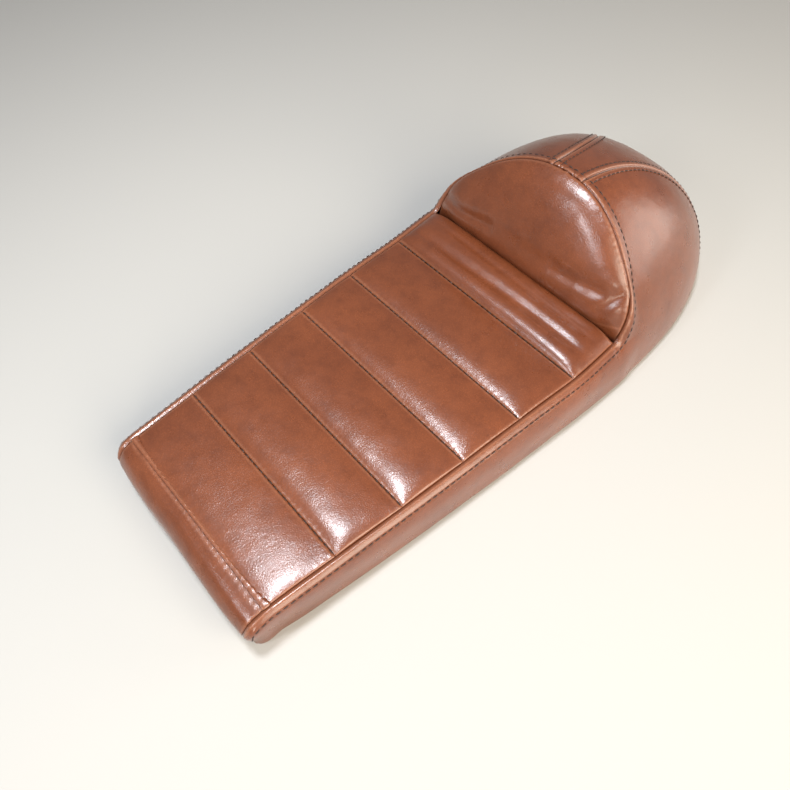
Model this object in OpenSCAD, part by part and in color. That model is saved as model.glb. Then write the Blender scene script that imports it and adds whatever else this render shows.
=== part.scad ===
// Motorcycle solo seat with a padded rear hump.
// +Y runs from the nose to the tail, +X to the right, +Z up; the underside of the cover is at z = 0.

/* [Overall] */
// Length from nose to tail
seat_len = 612; // [560:1:660]
// Half width of the base at the hips
hip_half_w = 133; // [120:1:145]
// Height of the hump's crest
hump_h = 145; // [130:1:155]
// Height of the seams along the top of the seat
seam_z = 50; // [45:1:56]

/* [Seat top] */
// Half width between the side seams at the nose
nose_half_w = 89; // [80:1:95]
// Half width between the side seams at the hump
rear_half_w = 112.5; // [105:0.5:118]
// Distance from the front edge to the first cross seam
nose_strip = 20; // [14:1:26]
// Distance between the cross seams of the first four pleats
pleat_pitch = 61; // [55:1:63]
// Length of the fifth pleat
last_pleat = 66.5; // [60:0.5:70]
// Length of the soft roll in front of the hump
roll_len = 56.5; // [50:0.5:60]
// How far a pleat stands above its seams
pleat_crown = 5; // [2:0.5:8]
// How far the roll stands above its seams
roll_crown = 9; // [6:0.5:12]
// How far the front edge bows forwards
nose_bow = 7; // [3:0.5:9]

/* [Sides] */
// How far the base stands out from the side seam at the nose
nose_flare = 4.5; // [3:0.5:7]
// How far the base stands out from the side seam at the hump
rear_flare = 21; // [16:0.5:24]
// Width of the cover turned under the base
hem_w = 24; // [18:1:30]

/* [Hump] */
// Distance of the hump's fullest section from the tail
hump_len = 217; // [205:1:225]
// Squareness of the hump in plan
plan_power = 2.5; // [2.2:0.1:2.8]
// Slope of the hump's front panel from the horizontal
front_slope = 68.4; // [62:0.1:74]
// How far the front panel bulges forwards
front_bulge = 13; // [8:1:16]
// Half width of the centre strip at the crest
strip_half_w = 15; // [12:0.5:18]
// Half width of the centre strip at the base
fan_half_w = 98; // [85:1:102]

/* [Materials] */
// Thickness of the padded cover
cover_t = 2; // [1.6:0.1:2.4]
// Thickness of the base board
board_t = 9; // [8:1:10]
// Thickness of the padding under the pleats
padding_t = 10; // [8:1:12]
// Gap left between neighbouring soft pieces
gap = 0.3; // [0.2:0.05:0.4]

/* [Fixings] */
// Hole spacing of the threaded inserts across the seat
nut_dx = 110; // [90:1:130]
// Hole spacing of the threaded inserts along the seat
nut_dy = 300; // [240:1:320]
// Radius of the inserts' threaded hole
nut_hole_r = 4; // [3:0.5:4]
// Distance between the staples along the hem
staple_pitch = 40; // [30:1:60]

/* [Hidden] */

nose_y = -seat_len / 2;
tail_y = seat_len / 2;
hump_y = tail_y - hump_len;
seam_ys = [for (i = [0:4]) nose_y + nose_strip + i * pleat_pitch];
roll_y = seam_ys[4] + last_pleat;
crease_y = roll_y + roll_len;
corner_y = nose_y + nose_bow;
board_z = cover_t + 0.2;
board_top = board_z + board_t;
padding_z = seam_z - cover_t - padding_t;
slit = 4;
hem_round = 5;
edge_round = 8;
corner_len = 12;
apex_z = 0.9845 * hump_h;
face_top = apex_z - 3.5;
under_cover = cover_t + 1.2;
foot_len = 14;
foot_t = 1.5;
staple_wire = 0.6;
staple_w = 10;
staple_leg = 6.5;
leather = [0.48, 0.21, 0.10];
foam = [0.85, 0.82, 0.62];
steel = [0.75, 0.75, 0.76];

// ---- Shape of the seat ----
function clamp(x) = min(1, max(0, x));
function smooth(x) = clamp(x) * clamp(x) * (3 - 2 * clamp(x));
function mix(a, b, t) = a + (b - a) * t;

// Half width at the side seam, and how far the base flares out below it.
function along(y) = clamp((y - seam_ys[0]) / (crease_y - seam_ys[0]));
function seam_half_w(y) = mix(rear_half_w, nose_half_w, pow(1 - along(y), 1.4));
function flare(y) = mix(nose_flare, rear_flare, pow(along(y), 0.7));

// Half width and reach of the hump at height z, inside the outer surface by inset.
function hump_w(z, inset) = (hip_half_w - inset) * sqrt(1 - pow(clamp(z / (hump_h - inset)), 1.6));
function hump_reach(z, inset) = (hump_len - inset) * sqrt(1 - pow(clamp(z / (hump_h - inset)), 1.9));

// Half width of the flank at length y and height z.
function corner(y) = sqrt(1 - pow(1 - clamp((y - corner_y) / corner_len), 2));
function front_x(y, z, inset) =
    seam_half_w(y) + corner(y) * flare(y) * (1 - pow(clamp(z / seam_z), 2)) - inset;
function hump_x(y, z, inset) =
    hump_w(z, inset) * pow(1 - pow(clamp((y - hump_y) / hump_reach(z, inset)), plan_power), 1 / plan_power);
function flank_x(y, z, inset) =
    mix(front_x(y, z, inset), hump_x(y, z, inset), smooth((y - crease_y) / 20));

// Line of the arch seam, and the centre strip's half width at height z.
function arch_y(z) = crease_y + max(0, z - seam_z) / tan(front_slope);
function strip_x(z) = mix(strip_half_w, fan_half_w, pow(1 - pow(clamp(z / hump_h), 1.5), 1.3));

// Length at which the hump's surface at height z is x from the middle.
function tail_at(x, z, inset) =
    hump_y + hump_reach(z, inset) * pow(1 - pow(clamp(abs(x) / hump_w(z, inset)), plan_power), 1 / plan_power);

// s is a point's place along the hump: -1 at the crease, 0 at the fullest section and 1 in the
// middle of the tail.
function round_pt(s, z, inset) =
    let (y = s < 0 ? hump_y + s * (hump_y - crease_y)
                   : hump_y + hump_reach(z, inset) * pow(sin(90 * s), 2 / plan_power),
         full_x = s < 0 ? 0 : hump_w(z, inset) * pow(cos(90 * s), 2 / plan_power))
    [s > 0.5 ? full_x : flank_x(y, z, inset), y, z];
function share_of_x(x, z, inset) = acos(pow(clamp(x / hump_w(z, inset)), plan_power / 2)) / 90;
function share_of_y(y, z, inset) =
    y < hump_y ? (y - hump_y) / (hump_y - crease_y)
               : asin(pow(clamp((y - hump_y) / hump_reach(z, inset)), plan_power / 2)) / 90;

// ---- Solids from grids of points ----
// Two grids of the same size, outer and inner, closed round their edges. flip turns the faces.
function grid_faces(rows, cols, flip) =
    let (n = rows * cols)
    [for (r = [0:rows - 2], c = [0:cols - 2])
        let (a = r * cols + c, b = a + 1, d = a + cols, e = d + 1)
        each [flip ? [a, b, e] : [a, e, b], flip ? [a, e, d] : [a, d, e],
              flip ? [n + a, n + e, n + b] : [n + a, n + b, n + e],
              flip ? [n + a, n + d, n + e] : [n + a, n + e, n + d]],
     for (c = [0:cols - 2], r = [0, rows - 1])
        let (a = r * cols + c, b = a + 1, down = (r == 0) != flip)
        each [down ? [a, b, n + b] : [a, n + b, b], down ? [a, n + b, n + a] : [a, n + a, n + b]],
     for (r = [0:rows - 2], c = [0, cols - 1])
        let (a = r * cols + c, b = a + cols, down = (c == 0) != flip)
        each [down ? [a, n + b, b] : [a, b, n + b], down ? [a, n + a, n + b] : [a, n + b, n + a]]];

module shell(outer, inner, flip = false)
    polyhedron([for (row = outer, p = row) p, for (row = inner, p = row) p],
               grid_faces(len(outer), len(outer[0]), flip));

// Closed rings of points, one above the other, with flat ends.
module loft(rings) {
    n = len(rings[0]);
    last = (len(rings) - 1) * n;
    polyhedron([for (ring = rings, p = ring) p],
               [[for (i = [0:n - 1]) i], [for (i = [0:n - 1]) last + n - 1 - i],
                for (r = [0:len(rings) - 2], i = [0:n - 1])
                    let (a = r * n + i, b = r * n + (i + 1) % n)
                    each [[a, a + n, b], [b, a + n, b + n]]]);
}

function steps(n, from = 0, to = 1) = [for (i = [0:n]) mix(from, to, i / n)];

// ---- Top panels ----
// A panel between two cross seams: crown is its height between them.
function pillow(v) = pow(sin(180 * clamp(v)), 0.6);
function top_pt(u, y, lift, down) =
    [u * (seam_half_w(y) - cover_t - gap), y, seam_z + lift * (1 - pow(abs(u), 6)) - down];
function top_grid(y0, y1, crown, down) =
    [for (v = steps(8)) [for (u = steps(12, -1)) top_pt(u, mix(y0, y1, v), crown * pillow(v), down)]];

module top_panel(y0, y1, crown)
    shell(top_grid(y0 + gap / 2, y1 - gap / 2, crown, 0),
          top_grid(y0 + gap / 2, y1 - gap / 2, crown, cover_t), true);

module pleat(i) color(leather) top_panel(seam_ys[i], i < 4 ? seam_ys[i + 1] : roll_y, pleat_crown);
module lumbar_roll_panel() color(leather) top_panel(roll_y, crease_y, roll_crown);

// The nose panel's profile runs from the first seam over the front edge and under the board.
function front_y(u) = nose_y + nose_bow * pow(abs(u), 4);
function nose_profile(u, inset) =
    let (f = front_y(u), r = edge_round - inset, h = hem_round - inset)
    [[seam_ys[0] - gap / 2, seam_z - inset, 0],
     for (a = [0:22.5:90]) [f + edge_round - r * sin(a), seam_z - edge_round + r * cos(a), 0],
     [f + inset, seam_z / 2, 0],
     for (a = [0:30:90]) [f + hem_round - h * cos(a), hem_round - h * sin(a), hem_round * a / 90],
     [nose_y + hem_w, inset, hem_w]];
function nose_grid(inset) =
    [for (u = steps(14, -1))
        [for (p = nose_profile(u, inset)) [u * (seam_half_w(p[0]) - cover_t - gap - p[2]), p[0], p[1]]]];

module nose_panel() color(leather) shell(nose_grid(0), nose_grid(cover_t));

// ---- Side panels ----
// A column of points up the flank from the turned-under hem. front is the straight part beside
// the seat, and back the part over the hump, whose top edge climbs the arch to the crest.
function hem_rows(inset) =
    let (r = hem_round - inset)
    [[hem_w, inset], for (a = [90:-30:0]) [hem_round - r * cos(a), hem_round - r * sin(a)]];
function front_column(y, inset) =
    let (slide = (crease_y - y) / (crease_y - corner_y))
    [for (h = hem_rows(inset)) [front_x(y, 0, h[0]), y + slide * (h[0] - inset), h[1]],
     for (v = steps(9)) if (v > 0)
        let (z = mix(hem_round, seam_z, v)) [front_x(y, z, inset), y, z]];
function arch_z(u) = seam_z + (apex_z - seam_z) * sin(90 * u);
function low_s(u) = mix(-1, share_of_x(fan_half_w + gap / 2, 0, 0), u);
function side_s(u, v) =
    let (z1 = mix(hem_round, apex_z, v), zt = arch_z(u),
         straight = mix(low_s(u), share_of_y(arch_y(zt), zt, 0), v),
         edge = mix(low_s(1), share_of_y(arch_y(apex_z), apex_z, 0), v))
    straight + u * (share_of_x(strip_x(z1) + gap / 2, z1, 0) - edge);
function back_column(u, inset) =
    let (shrink = (hump_h - inset) / hump_h)
    [for (h = hem_rows(inset)) let (p = round_pt(low_s(u), 0, h[0])) [p[0], p[1], h[1]],
     for (v = steps(9)) if (v > 0)
        round_pt(side_s(u, v), mix(hem_round, arch_z(u) * shrink, v), inset)];
function side_grid(inset) =
    [for (t = steps(14)) front_column(mix(corner_y, crease_y, t), inset),
     for (t = steps(18)) if (t > 0) back_column(t, inset)];
function mirrored(grid) = [for (row = grid) [for (p = row) [-p[0], p[1], p[2]]]];

module side_panel_right() color(leather) shell(side_grid(0), side_grid(cover_t));
module side_panel_left() color(leather) shell(mirrored(side_grid(0)), mirrored(side_grid(cover_t)), true);

// ---- Hump ----
function bulge(u, z) =
    front_bulge * (1 - pow(abs(u), 2.5)) * pow(sin(180 * clamp((z - seam_z) / (apex_z - seam_z))), 0.7);
function face_pt(u, v, inset) =
    let (z = mix(seam_z, face_top, v), edge = flank_x(arch_y(z), z, cover_t + gap), b = bulge(u, z))
    [u * edge, arch_y(z) - b * sin(front_slope) - gap + inset, z + b * cos(front_slope)];
function face_grid(inset) = [for (v = steps(12)) [for (u = steps(14, -1)) face_pt(u, sin(90 * v), inset)]];

module hump_front_panel() color(leather) shell(face_grid(0), face_grid(cover_t), true);

function strip_pt(c, z, level, inset) =
    let (edge = share_of_x(strip_x(z) - gap / 2, z, 0), p = round_pt(mix(1, edge, abs(c)), level, inset))
    [c < 0 ? -p[0] : p[0], p[1], level];
function strip_grid(inset) =
    let (shrink = (hump_h - inset) / hump_h)
    [for (h = hem_rows(inset))
        [for (c = steps(14, -1)) let (p = strip_pt(c, 0, 0, h[0])) [p[0], p[1], h[1]]],
     for (v = steps(16)) if (v > 0)
        let (z = mix(hem_round, apex_z - 0.4, sin(90 * v))) [for (c = steps(14, -1)) strip_pt(c, z, z * shrink, inset)],
     [for (c = steps(14, -1)) [c * strip_half_w, arch_y(apex_z) + gap, hump_h - 0.8 - inset]]];

module hump_centre_strip() color(leather) shell(strip_grid(0), strip_grid(cover_t), true);

// ---- Inside ----
function face_y(u, z) = arch_y(z) + under_cover - (z > seam_z ? bulge(u, z) : 0);
function hump_ring(z, front) =
    let (y0 = max(front, arch_y(z) + under_cover), s0 = share_of_y(y0, z, under_cover),
         edge = round_pt(s0, z, under_cover)[0],
         right = [for (t = steps(12)) round_pt(mix(s0, 1, t), z, under_cover)])
    [for (u = steps(10, -1)) if (abs(u) < 1) [u * edge, z > seam_z ? face_y(u, z) : y0, z],
     for (p = right) p,
     for (i = [len(right) - 2:-1:0]) [-right[i][0], right[i][1], z]];
foot_end = crease_y + foot_len + slit / 2;
foot_clear = board_top + foot_t + 0.5;

module hump_foam() color(foam) loft([
    hump_ring(board_top, foot_end), hump_ring(foot_clear, foot_end),
    hump_ring(foot_clear + 0.2, crease_y + slit / 2),
    for (v = steps(12)) hump_ring(mix(seam_z / 2, apex_z - 4, sin(90 * v)), crease_y + slit / 2)]);

function seat_ring(z, from_y) =
    let (ys = steps(12, from_y + nose_bow, crease_y - slit / 2))
    [for (u = steps(10, -1)) if (abs(u) < 1)
        [u * front_x(ys[0], z, under_cover), from_y + nose_bow * pow(abs(u), 4), z],
     for (y = ys) [front_x(y, z, under_cover), y, z],
     for (i = [len(ys) - 1:-1:0]) [-front_x(ys[i], z, under_cover), ys[i], z]];

module seat_foam() color(foam) loft([
    for (z = steps(3, board_top, padding_z - gap)) seat_ring(z, nose_y + under_cover)]);

function crown_at(y) =
    y < seam_ys[0] ? 0
    : y < seam_ys[4] ? pleat_crown * pillow(((y - seam_ys[0]) / pleat_pitch) % 1)
    : y < roll_y ? pleat_crown * pillow((y - seam_ys[4]) / last_pleat)
    : roll_crown * pillow((y - roll_y) / roll_len);
function padding_pt(u, y, top) =
    [u * (seam_half_w(y) - under_cover), y,
     top ? seam_z - cover_t - gap + max(0, crown_at(y) * (1 - pow(abs(u), 6)) - gap) : padding_z];
function padding_grid(top) =
    [for (y = steps(60, seam_ys[0] - nose_strip + edge_round + nose_bow, crease_y - slit / 2))
        [for (u = steps(8, -1)) padding_pt(u, y, top)]];

module pleat_padding() color(foam) shell(padding_grid(true), padding_grid(false), true);

// The tie strip hangs from the crease seam in the slit between the two foams, and its foot is
// stapled to the board.
module crease_tie_strip() color("ivory") {
    w = 2 * (rear_half_w - 20);
    translate([-w / 2, crease_y - foot_t / 2, board_top]) cube([w, foot_t, seam_z - cover_t - board_top - 1]);
    translate([-w / 2, crease_y, board_top]) cube([w, foot_len, foot_t]);
}

function tape_grid(inset) =
    [for (z = steps(16, hem_round + 4, apex_z - 5))
        [for (c = [-1, 0, 1])
            let (x = strip_x(z) + c * 7 * clamp((hump_w(z, inset) - strip_x(z)) / 20 + 0.4)) [x, tail_at(x, z, inset), z]]];
module tape(left) {
    outer = tape_grid(cover_t + 0.1);
    inner = tape_grid(cover_t + 0.9);
    shell(left ? mirrored(outer) : outer, left ? mirrored(inner) : inner, !left);
}
module seam_tape_left() color("ivory") tape(true);
module seam_tape_right() color("ivory") tape(false);

// ---- Base and fixings ----
board_inset = hem_round + 0.2;
function board_side() =
    [for (y = steps(12, corner_y + 12, crease_y)) [front_x(y, 0, board_inset), y],
     for (s = steps(20)) let (p = round_pt(s, 0, board_inset)) [p[0], p[1]]];
function board_outline() =
    let (side = board_side(), w = front_x(corner_y, 0, board_inset))
    [for (u = steps(10, -0.96, 0.96)) [u * w, front_y(u) + board_inset],
     for (p = side) p,
     for (i = [len(side) - 2:-1:0]) [-side[i][0], side[i][1]]];
module at_nuts() for (x = [-nut_dx / 2, nut_dx / 2], y = [-nut_dy / 2, nut_dy / 2]) translate([x, y, 0]) children();
nut_barrel_r = nut_hole_r + 1;
nut_flange_r = 11;
nut_flange_t = 1.5;

module base_board() color("burlywood") difference() {
    translate([0, 0, board_z]) linear_extrude(board_t) polygon(board_outline());
    at_nuts() translate([0, 0, board_z - 1]) cylinder(r = nut_barrel_r + 0.1, h = board_t + 2, $fn = 48);
    at_nuts() translate([0, 0, board_top - nut_flange_t - 0.1])
        cylinder(r = nut_flange_r + 0.2, h = nut_flange_t + 1, $fn = 48);
}

module mounting_t_nuts() color(steel) at_nuts() difference() {
    union() {
        translate([0, 0, board_z]) cylinder(r = nut_barrel_r, h = board_t, $fn = 48);
        translate([0, 0, board_top - nut_flange_t]) cylinder(r = nut_flange_r, h = nut_flange_t, $fn = 48);
    }
    translate([0, 0, board_z - 1]) cylinder(r = nut_hole_r, h = board_t + 2, $fn = 48);
}

// A staple with its crown along X, driven upwards.
module staple() {
    translate([-staple_w / 2, -staple_wire, 0]) cube([staple_w, 2 * staple_wire, staple_wire]);
    for (x = [-staple_w / 2, staple_w / 2 - staple_wire])
        translate([x, -staple_wire, 0]) cube([staple_wire, 2 * staple_wire, staple_leg]);
}
staple_inset = 15;
module cover_staples() color(steel) {
    for (x = [-1.5:1:1.5]) translate([x * staple_pitch, nose_y + staple_inset + 1, 0.1]) staple();
    for (side = [-1, 1], y = [corner_y + 40:staple_pitch:crease_y])
        translate([side * front_x(y, 0, staple_inset), y, 0.1]) rotate(90 - side * 3) staple();
    for (side = [-1, 1], s = [0.12:0.16:0.95])
        let (p = round_pt(s, 0, staple_inset), q = round_pt(s + 0.02, 0, staple_inset))
        translate([side * p[0], p[1], 0.1]) rotate(atan2(q[1] - p[1], side * (q[0] - p[0]))) staple();
}

module tie_strip_staples() color(steel)
    for (x = [-2:1:2]) translate([x * staple_pitch, crease_y + foot_len * 0.6, board_top + foot_t + 0.3])
        mirror([0, 0, 1]) staple();

base_board();
mounting_t_nuts();
cover_staples();
seat_foam();
pleat_padding();
hump_foam();
crease_tie_strip();
tie_strip_staples();
seam_tape_left();
seam_tape_right();
nose_panel();
pleat(0);  // pleat_panel_1
pleat(1);  // pleat_panel_2
pleat(2);  // pleat_panel_3
pleat(3);  // pleat_panel_4
pleat(4);  // pleat_panel_5
lumbar_roll_panel();
hump_front_panel();
hump_centre_strip();
side_panel_left();
side_panel_right();
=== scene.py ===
"""Looks of a one-piece motorcycle seat with a padded hump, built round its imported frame.

Everything is in metres in the seat's own frame: +Y runs from the nose to the tail, +X to the
rider's right and +Z up, with the turned-under cover lying on z = 0.
"""
import logging
import math
from dataclasses import dataclass, field
from enum import Enum
from typing import Callable, Optional, Sequence

import bmesh
import bpy
import numpy as np
from mathutils import Matrix, Vector, noise
from mathutils.kdtree import KDTree


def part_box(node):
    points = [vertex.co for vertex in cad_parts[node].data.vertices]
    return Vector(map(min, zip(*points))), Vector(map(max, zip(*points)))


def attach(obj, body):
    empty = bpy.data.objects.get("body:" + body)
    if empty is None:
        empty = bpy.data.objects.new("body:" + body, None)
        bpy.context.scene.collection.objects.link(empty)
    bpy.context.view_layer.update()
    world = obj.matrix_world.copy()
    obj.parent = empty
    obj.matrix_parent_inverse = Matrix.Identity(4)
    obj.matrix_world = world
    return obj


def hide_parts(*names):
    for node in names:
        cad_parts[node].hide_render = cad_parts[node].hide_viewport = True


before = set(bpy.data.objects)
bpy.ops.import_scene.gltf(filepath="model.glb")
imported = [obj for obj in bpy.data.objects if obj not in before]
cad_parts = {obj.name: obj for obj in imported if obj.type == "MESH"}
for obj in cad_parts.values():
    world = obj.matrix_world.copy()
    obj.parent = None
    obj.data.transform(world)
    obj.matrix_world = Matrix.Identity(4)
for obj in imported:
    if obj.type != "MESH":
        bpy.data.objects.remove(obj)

LOG = logging.getLogger("seat")
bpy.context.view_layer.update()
ROOT = "root"
QUARTER_TURN = 0.5 * math.pi
STITCH_PITCH = 0.0061
Array = np.ndarray
Colour = tuple[float, float, float]


class Side(Enum):
    """The two sides of the seat, with the sign of x on each."""

    LEFT = -1
    RIGHT = 1

    @property
    def flip(self) -> Array:
        """Factors that take a right-hand point to this side."""
        return np.array([self.value, 1.0, 1.0])

    @property
    def label(self) -> str:
        """The side's name within the names of pieces."""
        return self.name.lower()


class Slot(Enum):
    """Names of two material slots of the record, which nothing in this script uses."""

    COVER = "leather_cover"
    FOAM = "seat_foam"


# ---------------------------------------------------------------- finishes

class NodeGraph:
    """A thin helper over a material's node tree."""

    def __init__(self, name: str) -> None:
        """Starts an empty node material with a Principled shader.

        Args:
            name: the material's name.
        """
        self.material = bpy.data.materials.new(name)
        self.material.use_nodes = True
        self.tree = self.material.node_tree
        self.shader = self.tree.nodes["Principled BSDF"]
        self.coords = self.tree.nodes.new("ShaderNodeTexCoord").outputs["Object"]

    def node(self, kind: str, **settings: object) -> bpy.types.Node:
        """Adds a node.

        Args:
            kind: the node's type name without its ShaderNode prefix.
            settings: attributes, or input values where the name is an input's with _ for a space.

        Returns:
            The new node.
        """
        made = self.tree.nodes.new("ShaderNode" + kind)
        for key, value in settings.items():
            if hasattr(made, key):
                setattr(made, key, value)
            else:
                made.inputs[key.replace("_", " ")].default_value = value
        return made

    def link(self, out: bpy.types.NodeSocket, socket: bpy.types.NodeSocket) -> None:
        """Links one socket to another."""
        self.tree.links.new(out, socket)

    def feed(self, socket: bpy.types.NodeSocket, value: object) -> None:
        """Links something to an input, or sets a constant there.

        Args:
            socket: the input.
            value: a socket, a number or a colour.
        """
        if isinstance(value, bpy.types.NodeSocket):
            self.link(value, socket)
        elif isinstance(value, tuple):
            socket.default_value = (*value, 1.0)
        else:
            socket.default_value = value

    def texture(self, kind: str, at: Optional[bpy.types.NodeSocket] = None,
                **settings: object) -> bpy.types.Node:
        """Adds a texture.

        Args:
            kind: the texture's type name.
            at: the coordinates it is read at, where they aren't the object's own.
            settings: the same as for a node.

        Returns:
            The new node.
        """
        made = self.node("Tex" + kind, **settings)
        self.link(self.coords if at is None else at, made.inputs["Vector"])
        return made

    def noise(self, scale: float, detail: float = 3.0, rough: float = 0.5) -> bpy.types.NodeSocket:
        """Adds noise on object coordinates, with scale in cycles a metre."""
        return self.texture("Noise", Scale=scale, Detail=detail, Roughness=rough).outputs["Fac"]

    def stretched(self, scale_y: float) -> bpy.types.NodeSocket:
        """Scales the object coordinates along y.

        Args:
            scale_y: the scale; below 1 it draws a texture out along the seat.

        Returns:
            The coordinates' socket.
        """
        made = self.node("Mapping")
        made.inputs["Scale"].default_value = (1.0, scale_y, 1.0)
        self.link(self.coords, made.inputs["Vector"])
        return made.outputs["Vector"]

    def ramp(self, source: bpy.types.NodeSocket,
             stops: Sequence[tuple[float, Colour]]) -> bpy.types.NodeSocket:
        """Colours a value.

        Args:
            source: the value, from 0 to 1.
            stops: places and colours, two of them.

        Returns:
            The colour socket.
        """
        made = self.node("ValToRGB")
        for point, (place, colour) in zip(made.color_ramp.elements, stops):
            point.position = place
            point.color = (*colour, 1.0)
        self.link(source, made.inputs["Fac"])
        return made.outputs["Color"]

    def span(self, source: bpy.types.NodeSocket, low: float, high: float, start: float = 0.0,
             end: float = 1.0) -> bpy.types.NodeSocket:
        """Maps a value from the range start to end onto the range low to high.

        Args:
            source: the value.
            low: what start becomes.
            high: what end becomes.
            start: lower end of the source's range.
            end: upper end of the source's range.

        Returns:
            The mapped value's socket.
        """
        made = self.node("MapRange", From_Min=start, From_Max=end, To_Min=low, To_Max=high)
        self.link(source, made.inputs["Value"])
        return made.outputs["Result"]

    def mix(self, share: bpy.types.NodeSocket, first: object, second: object) -> bpy.types.NodeSocket:
        """Mixes two colours.

        Args:
            share: how much of the second.
            first: a colour or a socket.
            second: a colour or a socket.

        Returns:
            The mixed colour's socket.
        """
        made = self.node("Mix", data_type="RGBA")
        self.link(share, made.inputs["Factor"])
        self.feed(made.inputs[6], first)
        self.feed(made.inputs[7], second)
        return made.outputs[2]

    def bump(self, height: bpy.types.NodeSocket, depth: float, strength: float = 1.0,
             under: Optional[bpy.types.NodeSocket] = None) -> bpy.types.NodeSocket:
        """Adds a bump.

        Args:
            height: the height's socket.
            depth: how far a height of 1 stands out, in metres.
            strength: the bump's strength.
            under: a coarser bump that this one lies on.

        Returns:
            The normal's socket.
        """
        made = self.node("Bump", Strength=strength, Distance=depth)
        self.link(height, made.inputs["Height"])
        if under is not None:
            self.link(under, made.inputs["Normal"])
        return made.outputs["Normal"]

    def finish(self, **values: object) -> bpy.types.Material:
        """Feeds the shader.

        Args:
            values: sockets or constants, by the shader's input with _ for a space.

        Returns:
            The finished material.
        """
        for key, value in values.items():
            self.feed(self.shader.inputs[key.replace("_", " ")], value)
        return self.material


@dataclass(frozen=True)
class LeatherFinish:
    """Pebbled chestnut leatherette, with painted shade in its seams and crease, and lighter seam edges and
    flaps that are partly wear and partly painted highlight.
    """

    name: str = "chestnut_leatherette"
    # Dark colour for the mottling, the grain's hollows and the painted shade in the seams.
    deep: Colour = (0.050, 0.012, 0.005)
    body: Colour = (0.158, 0.043, 0.0155)
    warm: Colour = (0.212, 0.060, 0.0215)
    # Lighter colour of the raised seam edges and flaps: partly wear, partly painted highlight.
    wear_sheen_colour: Colour = (0.46, 0.20, 0.11)
    pebble: float = 0.0016
    grain_depth: float = 0.00020
    wrinkle_depth: float = 0.00055
    pore_depth: float = 0.00006
    smoothest: float = 0.24
    roughest: float = 0.33
    specular: float = 0.6
    coat: float = 0.20

    def material(self) -> bpy.types.Material:
        """Builds the material from object coordinates, the panels' painted seam shade and their edges' wear
        and painted highlight.

        Returns:
            The material.
        """
        g = NodeGraph(self.name)
        seam = g.node("Attribute", attribute_name="seam_shade").outputs["Fac"]
        rub = g.node("Attribute", attribute_name="edge_wear_and_sheen").outputs["Fac"]
        cloud = g.ramp(g.noise(14.0, 4.0, 0.55), [(0.30, self.body), (0.70, self.warm)])
        mottled = g.mix(g.span(g.noise(75.0, 4.0, 0.65), 0.0, 0.32, 0.45, 0.75), cloud, self.deep)
        # Lighter on the raised seam edges and flaps: partly wear, partly painted highlight.
        worn_and_sheened = g.mix(g.span(rub, 0.0, 0.8), mottled, self.wear_sheen_colour)
        # Painted shade in the seam grooves and the crease.
        shaded = g.mix(seam, worn_and_sheened, self.deep)
        shift = g.node("VectorMath", operation="SCALE", Scale=self.pebble * 0.8)
        g.link(g.texture("Noise", Scale=420.0, Detail=2.0).outputs["Color"], shift.inputs[0])
        warp = g.node("VectorMath", operation="ADD")
        g.link(g.coords, warp.inputs[0])
        g.link(shift.outputs[0], warp.inputs[1])
        cells = g.texture("Voronoi", warp.outputs[0], feature="DISTANCE_TO_EDGE", Scale=1.0 / self.pebble)
        pebbles = g.span(cells.outputs["Distance"], 0.0, 1.0, 0.0, 0.32)
        wrinkles = g.texture("Noise", g.stretched(0.45), Scale=560.0, Detail=2.0, Roughness=0.5)
        creases = g.bump(wrinkles.outputs["Fac"], self.wrinkle_depth, 0.16)
        grain = g.bump(pebbles, self.grain_depth, 0.22, creases)
        return g.finish(Base_Color=g.mix(g.span(pebbles, 0.32, 0.0), shaded, self.deep),
                        Normal=g.bump(g.noise(2200.0, 2.0, 0.6), self.pore_depth, 0.2, grain),
                        Roughness=g.span(g.noise(60.0, 3.0, 0.6), self.smoothest, self.roughest),
                        Specular_IOR_Level=self.specular, Coat_Weight=self.coat, Coat_Roughness=0.20)


@dataclass(frozen=True)
class ThreadFinish:
    """Bonded upholstery thread, dark brown, with the twist of its plies."""

    name: str = "dark_brown_thread"
    dark: Colour = (0.012, 0.007, 0.006)
    light: Colour = (0.055, 0.028, 0.02)

    def material(self) -> bpy.types.Material:
        """Builds the material.

        Returns:
            The material.
        """
        g = NodeGraph(self.name)
        plies = g.texture("Wave", Scale=900.0, Distortion=1.5, bands_direction="DIAGONAL").outputs["Fac"]
        return g.finish(Base_Color=g.mix(plies, self.dark, self.light), Normal=g.bump(plies, 0.00012, 0.6),
                        Roughness=0.55)


@dataclass(frozen=True)
class PlywoodFinish:
    """Sanded plywood with its grain along the seat."""

    name: str = "sanded_plywood"
    pale: Colour = (0.60, 0.42, 0.25)
    dark: Colour = (0.36, 0.21, 0.10)

    def material(self) -> bpy.types.Material:
        """Builds the material.

        Returns:
            The material.
        """
        g = NodeGraph(self.name)
        drawn = g.stretched(0.06)
        fibre = g.texture("Noise", drawn, Scale=320.0, Detail=6.0, Roughness=0.6, Distortion=0.6)
        fibre = fibre.outputs["Fac"]
        flame = g.texture("Noise", drawn, Scale=24.0, Detail=3.0, Distortion=1.2).outputs["Fac"]
        face = g.mix(g.span(fibre, 0.0, 0.8, 0.4, 0.7), self.pale, self.dark)
        return g.finish(Base_Color=g.mix(g.span(flame, 0.0, 0.55, 0.45, 0.65), face, self.dark),
                        Normal=g.bump(fibre, 0.0002, 0.5), Roughness=0.7)


@dataclass(frozen=True)
class SteelFinish:
    """Zinc-plated steel, slightly mottled."""

    name: str = "zinc_plate"
    light: Colour = (0.66, 0.66, 0.64)
    dark: Colour = (0.42, 0.42, 0.43)

    def material(self) -> bpy.types.Material:
        """Builds the material.

        Returns:
            The material.
        """
        g = NodeGraph(self.name)
        return g.finish(Base_Color=g.mix(g.noise(600.0, 3.0), self.dark, self.light), Metallic=1.0,
                        Roughness=g.span(g.noise(900.0), 0.26, 0.5),
                        Normal=g.bump(g.noise(2400.0), 0.00004, 0.5))


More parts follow.
